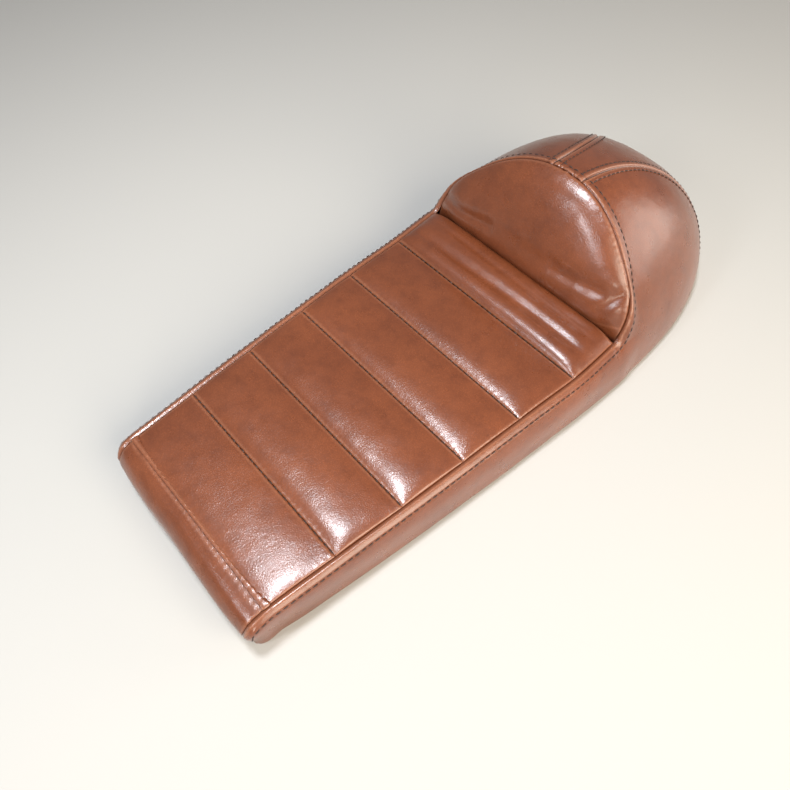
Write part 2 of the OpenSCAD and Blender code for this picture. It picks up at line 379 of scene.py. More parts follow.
@dataclass(frozen=True)
class FoamFinish:
    """Open-cell upholstery foam."""

    name: str = "open_cell_foam"
    pale: Colour = (0.78, 0.74, 0.52)
    pore: Colour = (0.42, 0.38, 0.22)

    def material(self) -> bpy.types.Material:
        """Builds the material.

        Returns:
            The material.
        """
        g = NodeGraph(self.name)
        cells = g.texture("Voronoi", Scale=900.0, Randomness=1.0)
        pores = g.span(cells.outputs["Distance"], 0.0, 1.0, 0.1, 0.6)
        return g.finish(Base_Color=g.mix(pores, self.pore, self.pale), Normal=g.bump(pores, 0.0005, 0.7),
                        Roughness=0.95)


@dataclass(frozen=True)
class TapeFinish:
    """Plain woven cotton tape."""

    name: str = "cotton_tape"
    light: Colour = (0.74, 0.70, 0.60)
    dark: Colour = (0.45, 0.41, 0.33)

    def material(self) -> bpy.types.Material:
        """Builds the material.

        Returns:
            The material.
        """
        g = NodeGraph(self.name)
        warp, weft = [g.texture("Wave", Scale=420.0, bands_direction=axis).outputs["Fac"] for axis in "XZ"]
        weave = g.mix(warp, self.dark, self.light)
        return g.finish(Base_Color=g.mix(weft, weave, self.light), Normal=g.bump(weft, 0.0002, 0.6),
                        Roughness=0.9)


@dataclass(frozen=True)
class FloorFinish:
    """Plain pale studio floor."""

    name: str = "studio_floor"
    colour: Colour = (0.46, 0.445, 0.415)

    def material(self) -> bpy.types.Material:
        """Builds the material."""
        return NodeGraph(self.name).finish(Base_Color=self.colour, Roughness=0.85)


# ---------------------------------------------------------------- shape of the seat

def unit(vectors: Array) -> Array:
    """Scales vectors to length 1."""
    return vectors / np.maximum(np.linalg.norm(vectors, axis=-1, keepdims=True), 1e-12)


def smooth(x: Array) -> Array:
    """Rises smoothly from 0 at 0 to 1 at 1."""
    t = np.clip(x, 0.0, 1.0)
    return t * t * (3.0 - 2.0 * t)


def hill(distance: Array, width: float) -> Array:
    """A bell of height 1 at distance 0 that fades over width."""
    return np.exp(-((distance / width) ** 2))


def near_edge(share: Array) -> Array:
    """Rises smoothly from 0 to 1 over the outer quarter of a width that runs from -1 to 1."""
    return smooth((np.abs(share) - 0.72) / 0.28)


def spread(count: int, dense: float = 0.0, both: bool = False) -> Array:
    """Places from 0 to 1.

    Args:
        count: how many steps.
        dense: how much closer they lie towards 1, from 0 to 1.
        both: whether they crowd towards 0 as well.

    Returns:
        count + 1 places.
    """
    t = np.linspace(0.0, 1.0, count + 1)
    eased = 0.5 - 0.5 * np.cos(np.pi * t) if both else np.sin(0.5 * np.pi * t)
    return (1.0 - dense) * t + dense * eased


def side_to_side(count: int, dense: float) -> Array:
    """Places from -1 to 1 that crowd towards both ends."""
    return 2.0 * spread(count, dense, both=True) - 1.0


def run_along(path: Array) -> Array:
    """Distances of a path's points from its start."""
    return np.concatenate([[0.0], np.cumsum(np.linalg.norm(np.diff(path, axis=0), axis=1))])


def at_run(wanted: Array, run: Array, values: Array) -> Array:
    """Values along a path at the wanted distances from its start."""
    return np.stack([np.interp(wanted, run, values[:, k]) for k in range(3)], axis=-1)


def respaced(path: Array, near: Array, rows: int) -> Array:
    """Spaces points anew along a path.

    Args:
        path: closely spaced points.
        near: distances from the path's start for the first points.
        rows: how many more follow, evenly to the path's end.

    Returns:
        The new points.
    """
    run = run_along(path)
    return at_run(np.concatenate([near, np.linspace(near[-1], run[-1], rows + 1)[1:]]), run, path)


def rough(points: Array, size: float, seed: float) -> Array:
    """Smooth random values over a surface.

    Args:
        points: positions.
        size: size of a swell, in metres.
        seed: picks one pattern.

    Returns:
        One value from about -1 to 1 for each point.
    """
    flat = points.reshape(-1, 3) / size
    values = [noise.noise(Vector((x + seed, y - seed, z + 2.0 * seed))) for x, y, z in flat]
    return np.array(values).reshape(points.shape[:-1])


@dataclass
class SeatForm:
    """The seat's outer surface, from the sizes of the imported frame."""

    seam_z: float = field(init=False)
    nose_y: float = field(init=False)
    tail_y: float = field(init=False)
    crease_y: float = field(init=False)
    seam_ys: list[float] = field(init=False)
    hump_y: float = field(init=False)
    corner_y: float = field(init=False)
    foot_z: float = field(init=False)
    top_z: float = field(init=False)
    apex_z: float = field(init=False)
    nose_half_w: float = 0.089
    rear_half_w: float = 0.1125
    nose_flare: float = 0.003
    rear_flare: float = 0.0155
    shoulder_w: float = 0.0065
    shoulder_h: float = 0.0065
    turn_up: float = 0.010
    nose_skew: float = 0.0045
    lean: float = 0.0024
    rear_lean: float = 0.0016
    first_seam: float = 0.0030
    last_seam: float = 0.0025
    hip_half_w: float = 0.133
    hump_h: float = 0.145
    hump_len: float = 0.217
    plan_power: float = 2.62
    front_slope: float = math.radians(68.4)
    nose_bow: float = 0.003
    corner_len: float = 0.012
    strip_half_w: float = 0.015
    fan_half_w: float = 0.098
    hip_len: float = 0.026
    edge_len: float = 0.026
    edge_drop: float = 0.019
    hem_w: float = 0.024
    hem_round: float = 0.005
    hem_z: float = 0.0008

    def __post_init__(self) -> None:
        """Reads the lengths along the seat from the frame, and finds the arch's top and corners."""
        self.seam_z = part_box("nose_panel")[1].z
        self.nose_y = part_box("nose_panel")[0].y
        self.tail_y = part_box("hump_centre_strip")[1].y
        self.seam_ys = [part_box("nose_panel")[1].y]
        self.seam_ys += [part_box(f"pleat_panel_{i}")[1].y for i in range(1, 6)]
        self.crease_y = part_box("lumbar_roll_panel")[1].y
        self.hump_y = self.tail_y - self.hump_len
        self.corner_y = self.nose_y + self.nose_bow
        self.foot_z = self.seam_z + 0.5 * self.turn_up
        heights = np.linspace(self.seam_z, self.hump_h - 1e-5, 20000)
        inside = self.hump_y + self.hump_reach(heights) >= self.arch_y(heights)
        self.top_z = float(heights[inside].max())
        heights = np.linspace(self.seam_z, self.top_z, 20000)
        wide = self.hump_x(self.arch_y(heights), heights) >= self.strip_x(heights)
        self.apex_z = float(heights[wide].max())

    def along(self, y: Array) -> Array:
        """Share of the way from the first seam to the crease."""
        return np.clip((y - self.seam_ys[0]) / (self.crease_y - self.seam_ys[0]), 0.0, 1.0)

    def seam_half_w(self, y: Array) -> Array:
        """Half width between the side seams at y."""
        return self.rear_half_w - (self.rear_half_w - self.nose_half_w) * (1.0 - self.along(y)) ** 1.4

    def front_y(self, u: Array) -> Array:
        """The bowed front edge at u, from -1 to 1 across it."""
        return self.nose_y + self.nose_bow * np.abs(u) ** 4

    def hump_w(self, z: Array) -> Array:
        """Half width of the hump at height z."""
        return self.hip_half_w * np.sqrt(1.0 - np.clip(z / self.hump_h, 0.0, 1.0) ** 1.6)

    def hump_reach(self, z: Array) -> Array:
        """Reach of the hump behind its fullest section at height z."""
        return self.hump_len * np.sqrt(1.0 - np.clip(z / self.hump_h, 0.0, 1.0) ** 1.9)

    def seam_top(self, y: Array) -> Array:
        """Height of the side seam, which turns down over the nose and up onto the hump.

        Args:
            y: places along the seat.

        Returns:
            The heights.
        """
        turn = 1.0 - np.clip((y - self.corner_y) / self.edge_len, 0.0, 1.0)
        climb = (y - self.crease_y) * math.tan(self.front_slope)
        rise = 0.5 * (climb + np.sqrt(climb ** 2 + self.turn_up ** 2))
        return self.seam_z + rise - self.edge_drop * (1.0 - np.sqrt(1.0 - turn ** 2))

    def front_x(self, y: Array, z: Array) -> Array:
        """Half width of the flank beside the seat.

        Args:
            y: places along the seat.
            z: heights.

        Returns:
            The half widths.
        """
        flare = self.nose_flare + (self.rear_flare - self.nose_flare) * self.along(y) ** 0.7
        corner = np.sqrt(1.0 - (1.0 - np.clip((y - self.corner_y) / self.corner_len, 0.0, 1.0)) ** 2)
        top = self.seam_top(y)
        level = self.seam_top(np.minimum(y, self.nose_y + 0.1))
        narrowed = 1.0 - self.hump_w(np.maximum(z, self.seam_z)) / self.hump_w(self.seam_z)
        taper = 1.0 - 0.35 * np.clip(narrowed, 0.0, 1.0)
        climb = np.clip((y - self.crease_y + 0.012) / 0.02, 0.0, 1.0)
        below = np.clip((top - z) / (self.shoulder_h * (1.0 + 1.6 * climb)), 0.0, 1.0)
        shoulder = self.shoulder_w * np.sqrt(1.0 - (1.0 - below) ** 2)
        flank = shoulder + flare * (1.0 - np.clip(z / level, 0.0, 1.0) ** 2)
        return self.seam_half_w(y) * taper + corner * flank

    def hump_x(self, y: Array, z: Array) -> Array:
        """Half width of the hump.

        Args:
            y: places along the seat.
            z: heights.

        Returns:
            The half widths.
        """
        reach = np.maximum(self.hump_reach(z), 1e-6)
        share = np.clip((y - self.hump_y) / reach, 0.0, 1.0)
        return self.hump_w(z) * (1.0 - share ** self.plan_power) ** (1.0 / self.plan_power)

    def flank_x(self, y: Array, z: Array) -> Array:
        """Half width of the flank anywhere along the seat."""
        share = smooth((y - self.crease_y) / self.hip_len)
        return (1.0 - share) * self.front_x(y, z) + share * self.hump_x(y, z)

    def arch_y(self, z: Array) -> Array:
        """Place of the arch seam along the seat at height z."""
        rise = np.maximum(z - self.seam_z, 0.5 * self.turn_up)
        return self.crease_y + (rise - self.turn_up ** 2 / (4.0 * rise)) / math.tan(self.front_slope)

    def edge_rise(self, share: Array, y: Array) -> Array:
        """How much higher a cross row lies near its ends, at share from -1 to 1 across the seat."""
        return near_edge(share) * (self.seam_top(np.maximum(y, self.nose_y + 0.03)) - self.seam_z)

    def settle(self, points: Array) -> Array:
        """Leans the soft parts as the seat does: a little to the right, with the nose edge askew.

        Args:
            points: points of the soft parts.

        Returns:
            The moved points.
        """
        moved = points.copy()
        x, y, z = points[..., 0], points[..., 1], points[..., 2]
        height = smooth((z - 0.012) / 0.03) * (1.0 - smooth((z - 0.085) / 0.045))
        rear = y - self.seam_ys[5]
        swing = self.lean * (1.0 - 0.3 * smooth(rear / 0.05)) + self.rear_lean * hill(rear, 0.045)
        moved[..., 0] += swing * height * (1.0 - smooth((y - self.hump_y) / 0.07))
        ahead = smooth((self.seam_ys[0] + 0.004 - y) / 0.016)
        askew = np.clip(x / self.nose_half_w, -0.1, 1.1)
        moved[..., 1] -= self.nose_skew * askew * ahead * (0.35 + 0.65 * height)
        first = smooth((self.seam_ys[0] + 0.024 - y) / 0.024) * smooth((y - self.nose_y - 0.004) / 0.015)
        moved[..., 1] -= (self.first_seam * first + self.last_seam * hill(rear, 0.02)) * height
        return moved

    def strip_x(self, z: Array) -> Array:
        """Half width of the centre strip at height z."""
        share = np.clip(1.0 - np.clip(z / self.hump_h, 0.0, 1.0) ** 1.5, 0.0, 1.0) ** 1.3
        return self.strip_half_w + (self.fan_half_w - self.strip_half_w) * share

    def share_of_x(self, x: Array, z: Array) -> Array:
        """Place round the hump, from 0 at the hip to 1 at the tail, where it is x wide."""
        return np.arccos(np.clip(x / self.hump_w(z), 0.0, 1.0) ** (self.plan_power / 2.0)) / QUARTER_TURN

    def share_of_y(self, y: Array, z: Array) -> Array:
        """Place round the hump at y; from -1 to 0 it is between the crease and the hip.

        Args:
            y: places along the seat.
            z: heights.

        Returns:
            The places round the hump.
        """
        reach = np.maximum(self.hump_reach(z), 1e-6)
        round_part = np.arcsin(np.clip((y - self.hump_y) / reach, 0.0, 1.0) ** (self.plan_power / 2.0))
        straight = (y - self.hump_y) / (self.hump_y - self.crease_y)
        return np.where(y < self.hump_y, straight, round_part / QUARTER_TURN)

    def round_point(self, s: Array, z: Array) -> Array:
        """A point of the hump.

        Args:
            s: place round it: -1 at the crease, 0 at the hip and 1 in the middle of the tail.
            z: height.

        Returns:
            The point on the right-hand side.
        """
        turn = np.clip(s, 0.0, 1.0) * QUARTER_TURN
        y = np.where(s < 0.0, self.hump_y + s * (self.hump_y - self.crease_y),
                     self.hump_y + self.hump_reach(z) * np.sin(turn) ** (2.0 / self.plan_power))
        full_x = self.hump_w(z) * np.maximum(np.cos(turn), 0.0) ** (2.0 / self.plan_power)
        x = np.where(y < self.crease_y + self.hip_len, self.flank_x(y, z), full_x)
        return np.stack([x, y, z + 0.0 * s], axis=-1)

    def base_point(self, s: Array, inset: Array) -> Array:
        """A point of the base's outline on the right, moved in by inset.

        Args:
            s: place round the hump.
            inset: distance inside the outline.

        Returns:
            The point at height 0.
        """
        step = 1e-4
        here = self.round_point(s, np.zeros_like(s))
        ahead = self.round_point(np.minimum(s + step, 1.0), np.zeros_like(s))
        behind = self.round_point(np.maximum(s - step, -1.0), np.zeros_like(s))
        tangent = unit(ahead - behind)
        inward = np.stack([-tangent[..., 1], tangent[..., 0], 0.0 * s], axis=-1)
        return here + inward * np.asarray(inset)[..., None]

    def hem(self) -> tuple[Array, Array]:
        """The turned-under hem, from the lower edge inwards under the board.

        Returns:
            Its distances inside the outline, and its heights.
        """
        turn = np.radians(np.linspace(0.0, 90.0, 12))[1:]
        flat = np.linspace(self.hem_round, self.hem_w, 10)[1:]
        insets = np.concatenate([self.hem_round * (1.0 - np.cos(turn)), flat])
        return insets, np.concatenate([self.hem_round * (1.0 - np.sin(turn)), 0.0 * flat]) + self.hem_z

    def from_hips(self, points: Array) -> Array:
        """Directions of points from the middle of the hump."""
        return points - np.array([0.0, self.hump_y, 0.03])


@dataclass(frozen=True)
class Pull:
    """How a seam draws the cover in, and the flap that is topstitched beside it."""

    depth: float
    reach: float
    # Painted shade: how dark the seam's groove is painted in the colour.
    painted_shade: float = 0.8
    fell: float = 0.0
    fell_w: float = 0.0076


class Sewn(Enum):
    """The kinds of seam."""

    # The third value is the painted shade in each seam's groove; the crease gets the darkest.
    CROSS = Pull(0.0005, 0.0009, 0.0)
    CREASE = Pull(0.0085, 0.0040, 0.9)
    SIDE = Pull(0.0012, 0.0010, 0.5, fell=0.0006)
    STRIP = Pull(0.0013, 0.0010, fell=0.0006, fell_w=0.0062)
    CORNER = Pull(0.0015, 0.0012)


@dataclass(eq=False)
class SeamLine:
    """A seam: closely spaced points, and the way in which it is pulled at each of them."""

    points: Array
    inward: Array
    kind: Sewn

    def __post_init__(self) -> None:
        """Prepares the search for the nearest point and the distances along the seam."""
        self.pull = self.kind.value
        self.run = run_along(self.points)
        self.tree = KDTree(len(self.points))
        for i, point in enumerate(self.points):
            self.tree.insert(point, i)
        self.tree.balance()

    def nearest(self, points: Array) -> tuple[Array, Array]:
        """Finds each point's distance from the seam and the seam point it is nearest to.

        Args:
            points: an array of points.

        Returns:
            The distances and the seam points' numbers.
        """
        found = [self.tree.find(p) for p in points.reshape(-1, 3)]
        numbers = np.array([f[1] for f in found]).reshape(points.shape[:-1])
        distances = np.array([f[2] for f in found]).reshape(points.shape[:-1])
        return distances, numbers


class Seams:
    """Every seam of the cover, named for what it joins."""

    STEP = 0.0006

    def __init__(self, form: SeatForm) -> None:
        """Works out the seams' lines.

        Args:
            form: the seat's surface.
        """
        self.form = form
        self.cross = [self.cross_seam(y, Sewn.CROSS) for y in form.seam_ys]
        self.crease = self.cross_seam(form.crease_y, Sewn.CREASE)
        self.side = {side: self.side_seam(side) for side in Side}
        self.strip = {side: self.strip_seam(side) for side in Side}
        self.corner = {side: self.corner_seam(side) for side in Side}

    def cross_seam(self, y: float, kind: Sewn) -> SeamLine:
        """A seam across the seat.

        Args:
            y: its place along the seat.
            kind: how it is sewn.

        Returns:
            The seam.
        """
        half = float(self.form.seam_half_w(np.array(y)))
        x = np.arange(-half, half, self.STEP)
        z = self.form.seam_z + self.form.edge_rise(x / half, np.full_like(x, y))
        points = np.stack([x, np.full_like(x, y), z], axis=-1)
        return SeamLine(points, np.tile([0.0, 0.0, -1.0], (len(x), 1)), kind)

    def side_seam(self, side: Side) -> SeamLine:
        """The seam beside the seat, which climbs the hump as the arch.

        Args:
            side: which side it is on.

        Returns:
            The seam, from the nose to the middle of the arch.
        """
        form = self.form
        bend = form.corner_y + form.edge_len * (1.0 - np.cos(np.linspace(0.0, QUARTER_TURN, 34)))
        y = np.concatenate([bend, np.arange(bend[-1] + self.STEP, form.crease_y, self.STEP)])
        straight = np.stack([form.seam_half_w(y), y, form.seam_top(y)], axis=-1)
        turn = np.linspace(0.0, QUARTER_TURN, 420)
        z = form.foot_z + (form.top_z - form.foot_z) * np.sin(turn)
        arch = np.stack([form.flank_x(form.arch_y(z), z), form.arch_y(z), z], axis=-1)
        low = unit(np.array([-1.0, 0.0, -1.0]))
        height = (z - form.seam_z) / form.hump_h + 0.2
        out = np.stack([arch[:, 0] / form.hip_half_w, 0.0 * z, height], axis=-1)
        front = np.array([0.0, -math.sin(form.front_slope), math.cos(form.front_slope)])
        blend = smooth(turn / 0.35)[:, None]
        high = unit((1.0 - blend) * low - blend * unit(unit(out) + front))
        inward = np.concatenate([np.tile(low, (len(y), 1)), high])
        return SeamLine(np.concatenate([straight, arch]) * side.flip, inward * side.flip, Sewn.SIDE)

    def strip_seam(self, side: Side) -> SeamLine:
        """The seam between a side panel and the centre strip.

        Args:
            side: which side it is on.

        Returns:
            The seam, from the base to the arch.
        """
        form = self.form
        z = form.apex_z * np.sin(np.linspace(0.0, QUARTER_TURN, 520))
        points = form.round_point(form.share_of_x(form.strip_x(z), z), z)
        inward = unit(np.array([0.0, form.hump_y, 0.02]) - points)
        return SeamLine(points * side.flip, inward * side.flip, Sewn.STRIP)

    def corner_seam(self, side: Side) -> SeamLine:
        """The seam down a front corner of the nose.

        Args:
            side: which side it is on.

        Returns:
            The seam, from the base upwards.
        """
        form = self.form
        z = np.arange(0.0, form.seam_z - form.edge_drop, self.STEP)
        x = np.full_like(z, float(form.seam_half_w(np.array(form.corner_y))))
        points = np.stack([x, np.full_like(z, form.corner_y), z], axis=-1)
        inward = np.tile(unit(np.array([-1.0, 1.0, 0.0])), (len(z), 1))
        return SeamLine(points * side.flip, inward * side.flip, Sewn.CORNER)


# ---------------------------------------------------------------- sewn panels

def grid_normals(points: Array) -> Array:
    """Unit normals of a grid of points, from its two directions."""
    return unit(np.cross(np.gradient(points, axis=1), np.gradient(points, axis=0)))


def to_piece(bm: bmesh.types.BMesh, name: str, rounded: bool = False) -> bpy.types.Object:
    """Turns a bmesh into an object of the scene.

    Args:
        bm: the bmesh, which is freed.
        name: the object's name.
        rounded: whether its faces are shaded smooth.

    Returns:
        The object.
    """
    if rounded:
        for face in bm.faces:
            face.smooth = True
    mesh = bpy.data.meshes.new(name)
    bm.to_mesh(mesh)
    bm.free()
    piece = bpy.data.objects.new(name, mesh)
    bpy.context.scene.collection.objects.link(piece)
    return piece


def finish_piece(piece: bpy.types.Object, material: bpy.types.Material,
                 nodes: Sequence[str] = ()) -> None:
    """Dresses a new piece and ties it to the frame.

    Args:
        piece: the object.
        material: its material.
        nodes: frame nodes that it stands for.
    """
    piece.data.materials.append(material)
    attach(piece, ROOT)
    if nodes:
        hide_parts(*nodes)
    LOG.info("%s: %d vertices", piece.name, len(piece.data.vertices))


@dataclass
class LaidGrid:
    """A panel's grid as it lies on the seat, and what its finish needs to know."""

    points: Array
    normals: Array
    away: dict[int, Array]
    shade: Array
    rub: Array


@dataclass
class SewnPanel:
    """One panel of the cover: a fine grid laid on the seat's form and pulled in at its seams."""

    name: str
    form: SeatForm
    pulls: list[SeamLine]
    felled: list[SeamLine] = field(default_factory=list)
    thickness: float = 0.0016
    swell: float = 0.00028
    pucker: float = 0.00007
    pinch: float = 0.0005
    seed: float = 1.0
    laid: list[LaidGrid] = field(default_factory=list)

    def lay(self, points: Array, normals: Array) -> LaidGrid:
        """Pulls a laid-out grid in at its seams and gives it the leather's unevenness.

        Args:
            points: the grid on the seat's form.
            normals: its outward normals.

        Returns:
            The grid as it lies.
        """
        moved = points.copy()
        shade, rub, flap = np.zeros((3, *points.shape[:-1]))
        calm = np.ones(points.shape[:-1])
        away = {}
        for seam in self.pulls:
            pull = seam.pull
            distance, number = seam.nearest(points)
            away[id(seam)] = distance
            wave = np.cos(2.0 * math.pi * seam.run[number] / STITCH_PITCH)
            moved += seam.inward[number] * (pull.depth * hill(distance, pull.reach))[..., None]
            # Painted shade in the seam's groove, where shade falls.
            shade = np.maximum(shade, pull.painted_shade * hill(distance, 0.5 * pull.reach))
            # Lighter band on the puff beside the seam: partly wear, partly painted highlight.
            rub = np.maximum(rub, 0.35 * hill(distance - 2.0 * pull.reach, 0.0010))
            calm *= smooth((distance - 0.0005) / 0.006)
            moved += normals * (self.pucker * wave * hill(distance - 0.002, 0.0026))[..., None]
            if seam in self.felled:
                past = distance - pull.fell_w
                band = smooth((distance - 0.0006) / 0.0012) * smooth((0.0010 - past) / 0.0014)
                flap = np.maximum(flap, pull.fell * band)
                moved -= normals * (self.pinch * hill(past, 0.0008) * (0.8 + 0.2 * wave))[..., None]
                # Painted shade in the pinched line of the topstitch.
                shade = np.maximum(shade, 0.30 * hill(past, 0.0006))
                # Lighter raised flap beside a felled seam: partly wear, partly painted highlight.
                rub = np.maximum(rub, 0.55 * hill(distance - 0.0021, 0.0011))
        uneven = self.swell * rough(points, 0.028, self.seed)
        uneven += 0.4 * self.swell * rough(points, 0.010, self.seed + 7.0)
        moved += normals * (uneven * calm + flap)[..., None]
        return LaidGrid(self.form.settle(moved), normals, away, shade, rub)

    def build(self, grids: list[Array], outward: Callable[[Array], Array],
              shared: int = 0) -> bpy.types.Object:
        """Makes the panel's mesh.

        Args:
            grids: rows of points on the seat's form, one array for each part of the panel.
            outward: gives directions that the normals should agree with.
            shared: how many points from the bottom the first part's last column and the second
                part's first column share.

        Returns:
            The panel's object.
        """
        facing = []
        for grid in grids:
            normals = grid_normals(grid)
            agree = float((normals * outward(grid)).sum(axis=-1).mean())
            facing.append(normals if agree > 0.0 else -normals)
        if shared:
            both = unit(facing[0][-shared:, -1] + facing[1][-shared:, 0])
            facing[0][-shared:, -1] = both
            facing[1][-shared:, 0] = both
        bm = bmesh.new()
        # Layers for the painted seam shade and for the edges' wear and painted highlight.
        marks = [bm.verts.layers.float.new("seam_shade"), bm.verts.layers.float.new("edge_wear_and_sheen")]
        for grid, normals in zip(grids, facing):
            self.laid.append(self.lay(grid, normals))
            self.weave(bm, marks, self.laid[-1])
        if shared:
            bmesh.ops.remove_doubles(bm, verts=bm.verts[:], dist=1e-6)
        piece = to_piece(bm, self.name, rounded=True)
        wall = piece.modifiers.new("leather_thickness", "SOLIDIFY")
        wall.thickness = self.thickness
        wall.offset = -1.0
        return piece

    @staticmethod
    def weave(bm: bmesh.types.BMesh, marks: Sequence[object], grid: LaidGrid) -> None:
        """Adds one grid to the panel's mesh.

        Args:
            bm: the mesh.
            marks: the vertex layers of the seams' painted shade and of the edges' wear and painted highlight.
            grid: the grid.
        """
        rows, cols = grid.points.shape[0] - 1, grid.points.shape[1] - 1
        made = bmesh.ops.create_grid(bm, x_segments=cols, y_segments=rows, size=0.5)["verts"]
        faces = list({face for vert in made for face in vert.link_faces})
        for vert in made:
            j = round((vert.co.x + 0.5) * cols)
            i = round((vert.co.y + 0.5) * rows)
            vert.co = grid.points[i, j]
            for mark, value in zip(marks, (grid.shade, grid.rub)):
                vert[mark] = float(value[i, j])
        middle = made[len(made) // 2]
        bm.normal_update()
        distance = np.linalg.norm(grid.points - np.array(middle.co), axis=-1)
        near = np.unravel_index(np.argmin(distance), distance.shape)
        if middle.normal.dot(Vector(grid.normals[near])) < 0.0:
            bmesh.ops.reverse_faces(bm, faces=faces)


@dataclass
class TopPanel(SewnPanel):
    """A pleat: it swells behind its front seam and lies flatter towards the next one."""

    y0: float = 0.0
    y1: float = 0.0
    crown: float = 0.0042
    puff: float = 0.0085
    belly: float = 0.0014
    end_w: float = 0.009

    def lift(self, u: Array, v: Array) -> Array:
        """Height above the seams.

        Args:
            u: places across the panel, from -1 to 1.
            v: places along it, from 0 to 1.

        Returns:
            The heights.
        """
        length = self.y1 - self.y0
        rise = 1.0 - np.exp(-v * length / self.puff)
        fall = np.clip(1.0 - v ** 2.6, 0.0, 1.0) ** 0.9
        return self.crown * rise * fall / (1.0 - math.exp(-0.45 * length / self.puff))

    def make(self) -> bpy.types.Object:
        """Builds the panel.

        Returns:
            The panel's object.
        """
        form = self.form
        rows = max(24, int((self.y1 - self.y0) / 0.0014))
        v, u = np.meshgrid(spread(rows, 0.5, both=True), side_to_side(150, 0.5), indexing="ij")
        y = self.y0 + (self.y1 - self.y0) * v
        ends = 1.0 - np.exp(-np.clip((1.0 - np.abs(u)) * form.rear_half_w / self.end_w, 0.0, None))
        belly = self.belly * (1.0 - u ** 2) * np.sin(math.pi * v) ** 0.5
        z = form.seam_z + self.lift(u, v) * ends + belly + form.edge_rise(u, y)
        grid = np.stack([u * form.seam_half_w(y), y, z], axis=-1)
        return self.build([grid], lambda p: np.broadcast_to([0.0, 0.0, 1.0], p.shape))


@dataclass
class LumbarRoll(TopPanel):
    """The soft roll before the hump, with two wrinkles along it."""

    def lift(self, u: Array, v: Array) -> Array:
        """Height above the seams, with the wrinkles.

        Args:
            u: places across the panel, from -1 to 1.
            v: places along it, from 0 to 1.

        Returns:
            The heights.
        """
        length = self.y1 - self.y0
        rise = 1.0 - np.exp(-v * length / 0.0045)
        fall = 1.0 - np.exp(-(1.0 - v) * length / 0.0055)
        bend = 0.02 * np.sin(2.6 * u + 0.4)
        fade = np.clip(1.0 - np.abs(u) ** 6, 0.0, 1.0)
        height = 0.0075 + 0.0035 * v
        first = 0.0030 * hill(v - 0.34 - bend, 0.085) * fade
        second = 0.0016 * hill(v - 0.63 + bend, 0.050) * fade * (0.65 + 0.35 * u)
        return height * rise * fall - first - second


@dataclass
class NosePanel(SewnPanel):
    """The strip before the first seam, which wraps over the front edge and under the board."""

    face_bulge: float = 0.0022

    def make(self) -> bpy.types.Object:
        """Builds the panel.

        Returns:
            The panel's object.
        """
        form = self.form
        u = side_to_side(150, 0.5)
        front = form.front_y(u)
        top, low, edge, drop, hem = form.seam_z, form.hem_z, form.edge_len, form.edge_drop, form.hem_round
        rows = [(form.seam_ys[0] + (front + edge - form.seam_ys[0]) * t, top, 0.0) for t in spread(8)]
        for a in np.radians(np.linspace(0.0, 90.0, 21))[1:]:
            rows.append((front + edge * (1.0 - math.sin(a)), top - drop * (1.0 - math.cos(a)), 0.0))
        for t in spread(24)[1:]:
            rows.append((front, top - drop + (hem + low - top + drop) * t, 0.0))
        for a in np.radians(np.linspace(0.0, 90.0, 9))[1:]:
            inset = hem * (1.0 - math.cos(a))
            rows.append((front + inset, hem + low - hem * math.sin(a), inset))
        for t in spread(8)[1:]:
            y = front + hem + (form.nose_y + form.hem_w - front - hem) * t
            rows.append((y, low, hem + (form.hem_w - hem) * t))
        grid = np.stack([np.stack([u * (form.nose_half_w - inset), y + 0.0 * u, z + 0.0 * u], axis=-1)
                         for y, z, inset in rows])
        height = grid[..., 2]
        face = np.clip((height - hem) / 0.02, 0.0, 1.0) * np.clip((top - drop - height) / 0.02, 0.0, 1.0)
        grid[..., 1] -= self.face_bulge * face * (1.0 - np.abs(u) ** 4)
        return self.build([grid], lambda p: np.broadcast_to([0.0, -1.0, 0.4], p.shape))


